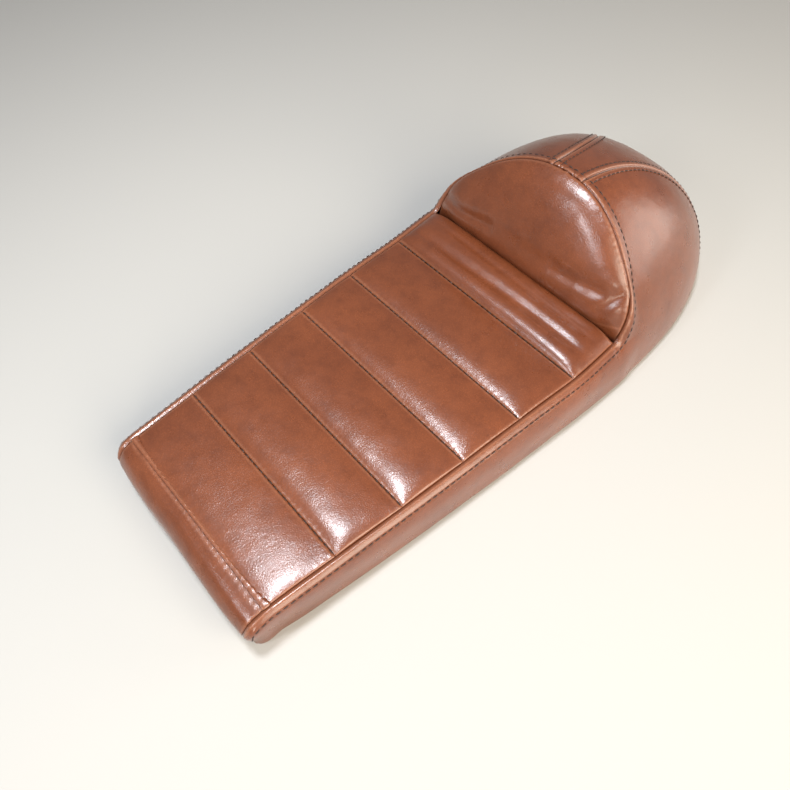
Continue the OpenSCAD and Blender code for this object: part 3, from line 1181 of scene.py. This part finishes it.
@dataclass
class SidePanel(SewnPanel):
    """A side of the cover, one piece from the nose over the hump to the centre strip."""

    side: Side = Side.RIGHT

    def front_column(self, y: float) -> Array:
        """A path down the flank beside the seat, from the side seam to the hem's edge.

        Args:
            y: its place along the seat.

        Returns:
            Its points.
        """
        form = self.form
        z = np.linspace(float(form.seam_top(np.array(y))), form.hem_round + form.hem_z, 120)
        flank = np.stack([form.front_x(np.full_like(z, y), z), np.full_like(z, y), z], axis=-1)
        slide = (form.crease_y - y) / (form.crease_y - form.corner_y)
        insets, heights = form.hem()
        hem = np.stack([flank[-1, 0] - insets, y + slide * insets, heights], axis=-1)
        return np.concatenate([flank, hem])

    def outline(self, z: float, places: Array) -> Array:
        """Points round the hump at one height, from the arch or the crease to the strip's seam.

        Args:
            z: the height.
            places: below 1, distances from the start; from 2 to 3, 2 more than shares of the
                middle part; and above 3, 4 less the distances from the end.

        Returns:
            The points.
        """
        form = self.form
        start_y = float(form.arch_y(np.array(z))) if z > form.foot_z else form.crease_y
        edge = float(form.share_of_x(form.strip_x(np.array(z)), np.array(z)))
        edge_y = float(form.round_point(np.array(edge), np.array(z))[1])
        s = np.linspace(0.0, edge, 260)
        y = form.round_point(s, np.full_like(s, z))[:, 1]
        y = np.concatenate([np.linspace(start_y, form.hump_y, 60)[:-1], y]) if start_y < form.hump_y else y
        y = np.unique(np.clip(y, start_y, edge_y))
        path = np.stack([form.flank_x(y, np.full_like(y, z)), y, np.full_like(y, z)], axis=-1)
        if len(path) < 2:
            path = np.repeat(path, 2, axis=0)
        run = run_along(path)
        total = run[-1]
        start = places[places < 1.0]
        squeeze = min(1.0, 0.45 * total / start.max())
        first, last = start * squeeze, total + (places[places > 3.0] - 4.0) * squeeze
        middle = first[-1] + (places[(places >= 2.0) & (places <= 3.0)] - 2.0) * (last[0] - first[-1])
        return at_run(np.concatenate([first, middle[1:-1], last]), run, path)

    def outward(self, points: Array) -> Array:
        """Directions that leave the seat: from the hump's middle, and sideways before it.

        Args:
            points: points of the panel.

        Returns:
            The directions.
        """
        out = self.form.from_hips(points)
        out[..., 1] = np.maximum(out[..., 1], 0.0)
        return out

    def make(self) -> bpy.types.Object:
        """Builds the panel.

        Returns:
            The panel's object.
        """
        form = self.form
        near = np.arange(29) * self.pulls[0].pull.fell_w / 11.0
        ahead = (form.crease_y - form.corner_y) * spread(200, 0.25)
        ahead = form.corner_y + ahead * (1.0 - 0.35 * (1.0 - smooth(ahead / 0.03)))
        front = np.stack([respaced(self.front_column(y), near, 60) for y in ahead], axis=1)
        seam_side = front[:, -1]
        flank_rows = int((seam_side[:, 2] > form.hem_round + form.hem_z + 1e-6).sum())
        places = np.concatenate([near, np.linspace(2.0, 3.0, 76), 4.0 - near[::-1]])
        upper = form.foot_z + (form.apex_z - 1e-5 - form.foot_z) * np.sin(np.linspace(QUARTER_TURN, 0.0, 131))
        rows = [self.outline(float(z), places) for z in (*upper[:-1], *seam_side[:flank_rows, 2])]
        low = self.outline(form.hem_round + form.hem_z, places)
        foot = self.outline(0.0, places)
        tangent = unit(np.gradient(foot, axis=0))
        tangent[0] = [0.0, 1.0, 0.0]
        inward = np.stack([-tangent[:, 1], tangent[:, 0], 0.0 * foot[:, 0]], axis=-1)
        for x, _, z in seam_side[flank_rows:]:
            row = low + inward * (seam_side[flank_rows - 1, 0] - x)
            row[:, 2] = z
            rows.append(row)
        back = np.stack(rows)
        shared = len(seam_side)
        back[-shared:, 0] = seam_side
        return self.build([front * self.side.flip, back * self.side.flip], self.outward, shared)


@dataclass
class CentreStrip(SewnPanel):
    """The strip over the hump's crest, which fans out round the tail."""

    def column(self, c: float) -> Array:
        """A path from the arch seam down to the hem's edge.

        Args:
            c: place across the strip, from -1 to 1.

        Returns:
            Its points.
        """
        form = self.form
        low = form.hem_round + form.hem_z
        heights = np.linspace(form.apex_z, form.top_z, 400)
        widths = form.hump_x(form.arch_y(heights), heights)
        top_z = float(np.interp(-abs(c) * widths[0], -widths, heights))
        v = np.sin(np.linspace(QUARTER_TURN, 0.0, 420))
        z = low + (top_z - low) * v
        edge_z = np.minimum(z, form.apex_z)
        s = 1.0 + (form.share_of_x(form.strip_x(edge_z), edge_z) - 1.0) * abs(c)
        top_s = float(form.share_of_y(form.arch_y(np.array(top_z)), np.array(top_z)))
        s = s + (top_s - s[0]) * v ** 24
        flank = form.round_point(s, z)
        insets, heights = form.hem()
        hem = form.base_point(np.full_like(insets, s[-1]), insets)
        hem[:, :2] += (flank[-1] - form.base_point(np.array([s[-1]]), np.array([0.0]))[0])[:2]
        hem[:, 2] = heights
        path = np.concatenate([flank, hem])
        path[:, 0] *= 1.0 if c >= 0.0 else -1.0
        return path

    def make(self) -> bpy.types.Object:
        """Builds the panel.

        Returns:
            The panel's object.
        """
        near = np.arange(25) * 0.0068 / 12.0
        grid = np.stack([respaced(self.column(c), near, 110) for c in side_to_side(124, 0.6)], axis=1)
        return self.build([grid], self.form.from_hips)


@dataclass(frozen=True)
class Fold:
    """A soft fold in the hump's front, between two places across and up the panel."""

    start: tuple[float, float]
    end: tuple[float, float]
    width: float
    strength: float

    def depth(self, across: Array, up: Array) -> Array:
        """Depth of the fold, from 0 to 1.

        Args:
            across: place across the panel, from -1 to 1.
            up: place up the panel, from 0 to 1.

        Returns:
            The depth at each place.
        """
        run = np.array(self.end) - np.array(self.start)
        from_start = (across - self.start[0], up - self.start[1])
        along = np.clip((from_start[0] * run[0] + from_start[1] * run[1]) / (run @ run), 0.0, 1.0)
        distance = np.hypot(from_start[0] - along * run[0], from_start[1] - along * run[1])
        return hill(distance, self.width) * np.sin(math.pi * np.clip(0.15 + 0.85 * along, 0.0, 1.0)) ** 0.5


@dataclass
class HumpFront(SewnPanel):
    """The domed front of the hump, inside the arch seam."""

    dome: float = 0.0150
    edge: float = 0.0062
    rim: float = 0.0095
    fold: float = 0.0024
    folds: tuple[Fold, ...] = (Fold((-0.97, 0.15), (-0.35, 0.26), 0.060, 0.9),
                               Fold((-0.45, 0.25), (0.50, 0.29), 0.095, 0.45),
                               Fold((0.30, 0.27), (0.93, 0.36), 0.065, 1.0),
                               Fold((0.78, 0.20), (0.90, 0.44), 0.050, 0.7))

    def make(self) -> bpy.types.Object:
        """Builds the panel.

        Returns:
            The panel's object.
        """
        form = self.form
        v, u = np.meshgrid(spread(96), side_to_side(170, 0.4), indexing="ij")
        across = u * np.sqrt(1.0 - 0.5 * v ** 2)
        up = v * np.sqrt(1.0 - 0.5 * u ** 2)
        share = across / np.maximum(np.sqrt(np.clip(1.0 - up ** 2, 0.0, 1.0)), 1e-6)
        share = np.where(up > 0.9999, 0.0, np.clip(share, -1.0, 1.0))
        lowest = form.seam_z + 0.5 * form.turn_up * near_edge(share)
        z = lowest + (form.top_z - lowest) * up
        rise = np.maximum(z - form.seam_z, 1e-6)
        back = form.turn_up ** 2 / (4.0 * np.maximum(rise, 0.5 * form.turn_up)) * near_edge(share)
        plane_y = form.crease_y + (rise - back) / math.tan(form.front_slope)
        seam_z = np.maximum(z, form.foot_z)
        half = form.flank_x(form.arch_y(seam_z), seam_z)
        radius = np.clip(np.hypot(across, up), 0.0, 1.0)
        height = (form.top_z - form.seam_z) * up
        rim = 1.0 - np.exp(-(1.0 - radius) * 0.1 / self.rim)
        bulge = self.dome * (0.72 + 0.28 * (1.0 - radius ** 2)) * rim * (1.0 - np.exp(-height / self.edge))
        for fold in self.folds:
            bulge -= fold.depth(across, up) * fold.strength * self.fold
        y = plane_y - bulge * math.sin(form.front_slope)
        grid = np.stack([share * half, y, z + bulge * math.cos(form.front_slope)], axis=-1)
        return self.build([grid], lambda p: np.broadcast_to([0.0, -1.0, 0.4], p.shape))


# ---------------------------------------------------------------- sewing

def level_line(panel: SewnPanel, part: int, values: Array, level: float, down: bool,
               from_end: bool = False) -> tuple[Array, Array]:
    """Finds where a value over a panel's grid first rises past a level on each grid line.

    Args:
        panel: the built panel.
        part: which of its grids.
        values: the values over the grid.
        level: the level.
        down: whether to search down each column, and not along each row.
        from_end: whether the search starts from the line's far end.

    Returns:
        Points on the panel and its normals there.
    """
    points, normals = panel.laid[part].points, panel.laid[part].normals
    if down:
        values, points, normals = values.T, points.swapaxes(0, 1), normals.swapaxes(0, 1)
    if from_end:
        values, points, normals = values[:, ::-1], points[:, ::-1], normals[:, ::-1]
    found, facing = [], []
    for line, place, normal in zip(values, points, normals):
        over = np.flatnonzero((line[:-1] <= level) & (line[1:] > level))
        if len(over):
            k = over[0]
            t = (level - line[k]) / (line[k + 1] - line[k])
            found.append(place[k] + (place[k + 1] - place[k]) * t)
            facing.append(normal[k])
    return np.array(found), unit(np.array(facing))


@dataclass
class StitchRow:
    """A row of lockstitches: each is a short bow of thread that dips into the cover at its ends."""

    name: str
    points: Array
    facing: Array
    length: float = 0.0038
    thread_r: float = 0.00048
    rise: float = 0.0007
    sink: float = 0.0001
    skew: float = 0.05

    def template(self) -> bpy.types.Mesh:
        """One stitch along X, lying on z = 0.

        Returns:
            Its mesh.
        """
        radius = self.length ** 2 / (8.0 * self.rise) + 0.5 * self.rise
        half = math.asin(0.5 * self.length / radius)
        middle = (0.0, 0.0, 0.0)
        bm = bmesh.new()
        bmesh.ops.create_circle(bm, cap_ends=True, segments=6, radius=self.thread_r)
        bmesh.ops.rotate(bm, verts=bm.verts[:], cent=middle, matrix=Matrix.Rotation(QUARTER_TURN, 3, "Y"))
        bmesh.ops.translate(bm, verts=bm.verts[:], vec=(0, 0, radius))
        bmesh.ops.rotate(bm, verts=bm.verts[:], cent=middle, matrix=Matrix.Rotation(-half, 3, "Y"))
        bmesh.ops.spin(bm, geom=bm.verts[:] + bm.edges[:] + bm.faces[:], cent=middle, axis=(0, 1, 0),
                       angle=2.0 * half, steps=6, use_duplicate=False)
        lowered = self.rise - radius - self.sink - self.thread_r * 0.3
        bmesh.ops.translate(bm, verts=bm.verts[:], vec=(0, 0, lowered))
        bmesh.ops.recalc_face_normals(bm, faces=bm.faces[:])
        mesh = bpy.data.meshes.new(self.name + "_stitch")
        bm.to_mesh(mesh)
        bm.free()
        return mesh

    def make(self) -> bpy.types.Object:
        """Sews the row.

        Returns:
            The row's object.
        """
        run = run_along(self.points)
        count = max(1, int(run[-1] / STITCH_PITCH))
        stitch = self.template()
        bm = bmesh.new()
        for i, middle in enumerate((np.arange(count) + 0.5) * run[-1] / count):
            place = Vector(at_run(middle, run, self.points))
            ahead = at_run(middle + 0.002, run, self.points) - at_run(middle - 0.002, run, self.points)
            ahead = Vector(ahead).normalized()
            up = Vector(at_run(middle, run, self.facing))
            up = (up - ahead * up.dot(ahead)).normalized()
            skew = Matrix.Rotation(self.skew * math.sin(12.9898 * i), 4, "Z")
            turn = Matrix((ahead, up.cross(ahead), up)).transposed().to_4x4()
            first = len(bm.verts)
            bm.from_mesh(stitch)
            bm.verts.ensure_lookup_table()
            bmesh.ops.transform(bm, matrix=Matrix.Translation(place) @ turn @ skew, verts=bm.verts[first:])
        bpy.data.meshes.remove(stitch)
        return to_piece(bm, self.name, rounded=True)


# ---------------------------------------------------------------- sub-assemblies

@dataclass
class Cover:
    """The sewn leatherette cover with all its panels and thread."""

    form: SeatForm
    leather: bpy.types.Material
    thread: bpy.types.Material
    first_crown: float = 0.0018
    bottom_z: float = 0.008
    arch_gap: float = 0.0075

    def build(self) -> None:
        """Builds the panels and sews them."""
        form = self.form
        seams = Seams(form)
        sides, strips, corners = [list(pair.values()) for pair in (seams.side, seams.strip, seams.corner)]
        nose = NosePanel("nose_panel_leather", form, [seams.cross[0], *sides, *corners], seed=3.0)
        self.dress(nose, "nose_panel")
        for i in range(5):
            name = f"pleat_panel_{i + 1}"
            pulls = [seams.cross[i], seams.cross[i + 1], *sides]
            pleat = TopPanel(name + "_leather", form, pulls, seed=11.0 + i, y0=form.seam_ys[i],
                             y1=form.seam_ys[i + 1])
            if i == 0:
                pleat.crown = self.first_crown
            self.dress(pleat, name)
        roll = LumbarRoll("lumbar_roll_leather", form, [seams.cross[5], seams.crease, *sides], seed=21.0,
                          y0=form.seam_ys[5], y1=form.crease_y)
        self.dress(roll, "lumbar_roll_panel")
        front = HumpFront("hump_front_leather", form, [*sides, seams.crease], seed=31.0, swell=0.0004)
        self.dress(front, "hump_front_panel")
        panels = {}
        for side in Side:
            name = f"side_panel_{side.label}"
            felled = [seams.side[side], seams.strip[side]]
            panels[side] = SidePanel(name + "_leather", form, [*felled, seams.corner[side]], felled=felled,
                                     seed=41.0 + side.value, side=side)
            self.dress(panels[side], name)
        felled = [*strips, *sides]
        strip = CentreStrip("hump_centre_strip_leather", form, felled, felled=felled, seed=51.0)
        self.dress(strip, "hump_centre_strip")
        self.sew_cross(seams)
        self.sew_arch(seams, panels, strip)
        self.sew_strip(seams, panels, strip)

    def dress(self, panel: SewnPanel, node: str) -> None:
        """Builds a panel, gives it its leather and puts it in its frame node's place.

        Args:
            panel: the panel.
            node: the frame node that it stands for.
        """
        piece = panel.make()
        finish_piece(piece, self.leather, [node])

    def sew(self, name: str, points: Array, facing: Array) -> None:
        """Makes one row of stitches."""
        finish_piece(StitchRow(name, points, facing).make(), self.thread)

    def sew_cross(self, seams: Seams) -> None:
        """Sews the seams across the seat.

        Args:
            seams: the cover's seams.
        """
        for i, seam in enumerate(seams.cross):
            inside = np.abs(seam.points[:, 0]) < np.abs(seam.points[0, 0]) - 0.002
            line = seam.points[inside] + seam.inward[inside] * (seam.pull.depth - 0.0003)
            self.sew(f"cross_seam_thread_{i + 1}", self.form.settle(line), -seam.inward[inside])

    def sew_arch(self, seams: Seams, panels: dict[Side, SidePanel], strip: CentreStrip) -> None:
        """Sews the row beside the side seams, up the arch and across the centre strip.

        Args:
            seams: the cover's seams.
            panels: the side panels.
            strip: the centre strip.
        """
        level = Sewn.SIDE.value.fell_w
        runs = {}
        for side, panel in panels.items():
            away = [grid.away[id(seams.side[side])] for grid in panel.laid]
            low, high = [level_line(panel, part, away[part], level, part == 0) for part in (0, 1)]
            runs[side] = [np.concatenate([a, b[::-1]]) for a, b in zip(low, high)]
        nearest = np.minimum(*[strip.laid[0].away[id(seams.side[side])] for side in Side])
        middle = level_line(strip, 0, nearest, level, True)
        points, facing = [np.concatenate([left, over, right[::-1]])
                          for left, over, right in zip(runs[Side.LEFT], middle, runs[Side.RIGHT])]
        self.sew("side_and_arch_topstitch", points, facing)

    def sew_strip(self, seams: Seams, panels: dict[Side, SidePanel], strip: CentreStrip) -> None:
        """Sews the rows on both sides of the centre strip's seams.

        Args:
            seams: the cover's seams.
            panels: the side panels.
            strip: the centre strip.
        """
        for side in Side:
            seam = seams.strip[side]
            for kind, panel, part, from_end in (("panel", panels[side], 1, True),
                                                ("strip", strip, 0, side is Side.RIGHT)):
                away = panel.laid[part].away[id(seam)]
                points, facing = level_line(panel, part, away, seam.pull.fell_w, False, from_end)
                arch = np.minimum(*[seams.side[each].nearest(points)[0] for each in Side])
                keep = (points[:, 2] > self.bottom_z) & (arch > self.arch_gap)
                self.sew(f"{kind}_topstitch_{side.label}", points[keep], facing[keep])


@dataclass
class Padding:
    """The foam inside, rounded off from its frame solids and quilted along the seams."""

    form: SeatForm
    material: bpy.types.Material
    voxel: float = 0.005
    rounding: int = 3
    slack: float = 0.0016
    quilting: float = 0.0035

    def build(self) -> None:
        """Makes each foam block."""
        for node, fill in (("seat_foam", 0.9), ("pleat_padding", 0.7), ("hump_foam", 0.9)):
            self.block(node)

    def block(self, node: str) -> None:
        """Makes one foam block from its solid, with softened edges.

        Args:
            node: the frame node.
        """
        bm = bmesh.new()
        bm.from_mesh(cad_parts[node].data)
        bmesh.ops.remove_doubles(bm, verts=bm.verts[:], dist=1e-5)
        piece = to_piece(bm, node + "_block")
        voxels = piece.modifiers.new("voxels", "REMESH")
        voxels.mode = "VOXEL"
        voxels.voxel_size = self.voxel
        soft = piece.modifiers.new("soft", "SMOOTH")
        soft.iterations = self.rounding
        slack = piece.modifiers.new("slack", "DISPLACE")
        slack.mid_level = 0.0
        slack.strength = -self.slack
        evaluated = piece.evaluated_get(bpy.context.evaluated_depsgraph_get())
        mesh = bpy.data.meshes.new_from_object(evaluated)
        piece.modifiers.clear()
        piece.data = mesh
        self.quilt(mesh)
        finish_piece(piece, self.material, [node])

    def quilt(self, mesh: bpy.types.Mesh) -> None:
        """Presses foam down along the seams that are sewn through it, and leans it with the cover.

        Args:
            mesh: the foam block's mesh.
        """
        form = self.form
        places = np.array([v.co for v in mesh.vertices])
        high = smooth((places[:, 2] - form.seam_z + 0.012) / 0.006)
        for y in (*form.seam_ys, form.crease_y):
            places[:, 2] -= self.quilting * hill(places[:, 1] - y, 0.005) * high
        for vert, place in zip(mesh.vertices, form.settle(places)):
            vert.co = place


@dataclass
class Base:
    """The board, its inserts, staples and tapes, which keep their frame shapes."""

    plywood: bpy.types.Material
    steel: bpy.types.Material
    tape: bpy.types.Material

    def build(self) -> None:
        """Dresses each frame node."""
        finishes = {"base_board": self.plywood, "mounting_t_nuts": self.steel, "cover_staples": self.steel,
                    "tie_strip_staples": self.steel, "crease_tie_strip": self.tape,
                    "seam_tape_left": self.tape, "seam_tape_right": self.tape}
        for node, material in finishes.items():
            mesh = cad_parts[node].data
            mesh.materials.clear()
            mesh.materials.append(material)
            LOG.info("%s: dressed in %s", node, material.name)


@dataclass(frozen=True)
class Softbox:
    """A studio light, with its place, the point it faces, its two sizes, power and colour."""

    name: str
    place: tuple[float, float, float]
    aim: tuple[float, float, float]
    size: tuple[float, float]
    watts: float
    colour: Colour

    def hang(self) -> None:
        """Hangs the light."""
        lamp = bpy.data.lights.new(self.name, "AREA")
        lamp.shape = "RECTANGLE"
        lamp.size, lamp.size_y = self.size
        lamp.energy = self.watts
        lamp.color = self.colour
        holder = bpy.data.objects.new(self.name, lamp)
        holder.location = self.place
        holder.rotation_euler = (Vector(self.aim) - Vector(self.place)).to_track_quat("-Z", "Y").to_euler()
        bpy.context.scene.collection.objects.link(holder)


@dataclass
class Studio:
    """Floor, lights and camera."""

    azimuth: float = math.radians(47.085)
    elevation: float = math.radians(57.957)
    roll: float = math.radians(0.524)
    eye: tuple[float, float, float] = (0.2261, -0.2896, 0.4917)
    lens: float = 28.48
    floor_half: float = 12.0
    air: Colour = (0.9, 0.93, 1.0)
    air_strength: float = 0.24
    cool: Colour = (0.88, 0.93, 1.0)

    def build(self) -> None:
        """Sets the studio up."""
        self.floor()
        for light in (
                Softbox("overhead_softbox", (-0.05, -0.24, 1.15), (0.0, -0.05, 0.03),
                        (0.14, 0.18), 12.5, self.cool),
                Softbox("window_softbox", (1.36, 2.28, 0.74), (0.05, 0.05, 0.05),
                        (1.4, 1.4), 22.0, (1.0, 0.94, 0.86)),
                Softbox("side_softbox", (1.29, -0.02, 0.84), (0.05, -0.05, 0.04),
                        (1.2, 1.2), 34.0, (1.0, 0.90, 0.75)),
                Softbox("rim_softbox", (0.81, -0.95, 0.43), (0.08, 0.06, 0.08),
                        (0.22, 0.32), 3.0, (1.0, 0.93, 0.80)),
                Softbox("front_softbox", (-0.04, -0.90, 0.71), (0.05, 0.05, 0.08),
                        (0.12, 0.26), 4.0, self.cool)):
            light.hang()
        world = bpy.data.worlds.new("studio_air")
        world.use_nodes = True
        world.node_tree.nodes["Background"].inputs["Color"].default_value = (*self.air, 1.0)
        world.node_tree.nodes["Background"].inputs["Strength"].default_value = self.air_strength
        bpy.context.scene.world = world
        bpy.context.scene.view_settings.view_transform = "Standard"
        self.camera()

    def floor(self) -> None:
        """Lays the floor."""
        bm = bmesh.new()
        bmesh.ops.create_grid(bm, x_segments=2, y_segments=2, size=self.floor_half)
        floor = to_piece(bm, "floor")
        floor.data.materials.append(FloorFinish().material())

    def camera(self) -> None:
        """Places the camera."""
        data = bpy.data.cameras.new("camera")
        data.lens = self.lens
        data.clip_start = 0.01
        data.dof.use_dof = False
        holder = bpy.data.objects.new("camera", data)
        turn = Matrix.Rotation(self.azimuth, 4, "Z") @ Matrix.Rotation(QUARTER_TURN - self.elevation, 4, "X")
        holder.matrix_world = Matrix.Translation(self.eye) @ turn @ Matrix.Rotation(self.roll, 4, "Z")
        bpy.context.scene.collection.objects.link(holder)
        bpy.context.scene.camera = holder


def main() -> None:
    """Builds the seat's looks and the studio."""
    logging.basicConfig(level=logging.INFO, format="%(message)s")
    Studio().build()
    leather = LeatherFinish().material()
    thread = ThreadFinish().material()
    form = SeatForm()
    Cover(form, leather, thread).build()
    Padding(form, FoamFinish().material()).build()
    Base(PlywoodFinish().material(), SteelFinish().material(), TapeFinish().material()).build()


if __name__ == "__main__":
    main()
